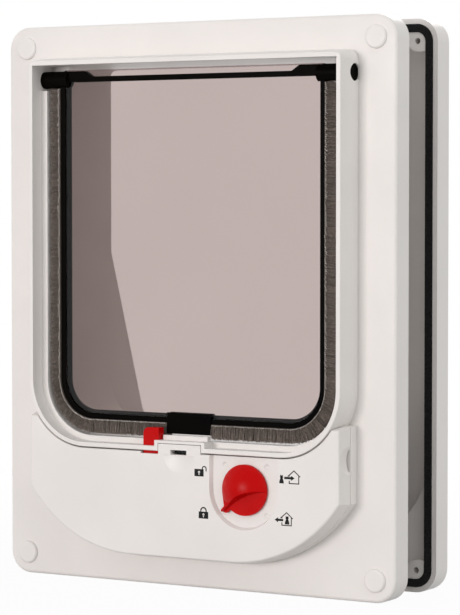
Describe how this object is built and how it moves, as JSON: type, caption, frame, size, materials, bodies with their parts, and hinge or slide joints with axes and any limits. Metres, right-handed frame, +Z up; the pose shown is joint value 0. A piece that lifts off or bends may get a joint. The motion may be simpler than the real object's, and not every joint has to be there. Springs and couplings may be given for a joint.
{
  "type": "cat flap",
  "caption": "White framed cat flap with a tinted swinging panel, brush seal, lock dial and latch, and an outer frame with a tunnel for the other side of a door.",
  "frame": {"origin": "centre of the rectangle of the fixing holes, on the door's inner face where the inner frame's rim lies", "axes": "+X to the right seen from indoors, +Y through the door to the outside, +Z up; the front faces -Y"},
  "size_m": [0.238, 0.1159, 0.297],
  "materials": {
    "white_plastic": "satin moulded",
    "black_plastic": "satin moulded",
    "tinted_panel": "clear tinted",
    "grey_pile": "brush pile",
    "black_foam": "closed-cell foam",
    "red_plastic": "gloss moulded",
    "natural_nylon": "as moulded",
    "magnet_coating": "coated",
    "bare_steel": "plated",
    "copper_winding": "wound wire",
    "battery_jacket": "printed sleeve",
    "board_green": "solder mask",
    "clear_glass": "clear"
  },
  "bodies": {
    "frame": {"inner_frame": "white_plastic", "tunnel_liner": "white_plastic", "control_cover": "white_plastic", "screw_caps": "white_plastic", "hinge_bushes": "black_plastic", "keeper_magnet": "magnet_coating", "battery": "battery_jacket", "battery_snap": "black_plastic", "circuit_board": "board_green", "reed_switch": "clear_glass", "solenoid_coil": "copper_winding", "solenoid_yoke": "bare_steel", "latch_spring": "bare_steel"},
    "flap": {"flap_panel": "tinted_panel", "flap_border": "black_plastic", "pile_seal": "grey_pile", "catch_block": "black_plastic", "flap_magnet": "magnet_coating"},
    "dial": {"lock_dial": "red_plastic", "dial_cam": "natural_nylon"},
    "latch": {"lock_latch": "red_plastic", "latch_plunger": "bare_steel"},
    "outer": {"outer_frame": "white_plastic", "foam_seal": "black_foam"}
  },
  "joints": [
    {"name": "flap_hinge", "type": "hinge", "parent": "frame", "child": "flap", "pos_m": [0, -0.0164, 0.1194], "axis": [1, 0, 0], "range_deg": [-85, 85]},
    {"name": "dial_turn", "type": "hinge", "parent": "frame", "child": "dial", "pos_m": [0.039, -0.0266, -0.0936], "axis": [0, 1, 0], "range_deg": [0, 270]},
    {"name": "latch_slide", "type": "slide", "parent": "frame", "child": "latch", "axis": [0, 0, 1], "range_m": [-0.009, 0], "stiffness_N_per_m": 40, "springref_m": 0.004, "deforming": ["latch_spring"]},
    {"name": "outer_slide", "type": "slide", "parent": "frame", "child": "outer", "axis": [0, 1, 0], "range_m": [-0.02, 0.006]}
  ]
}
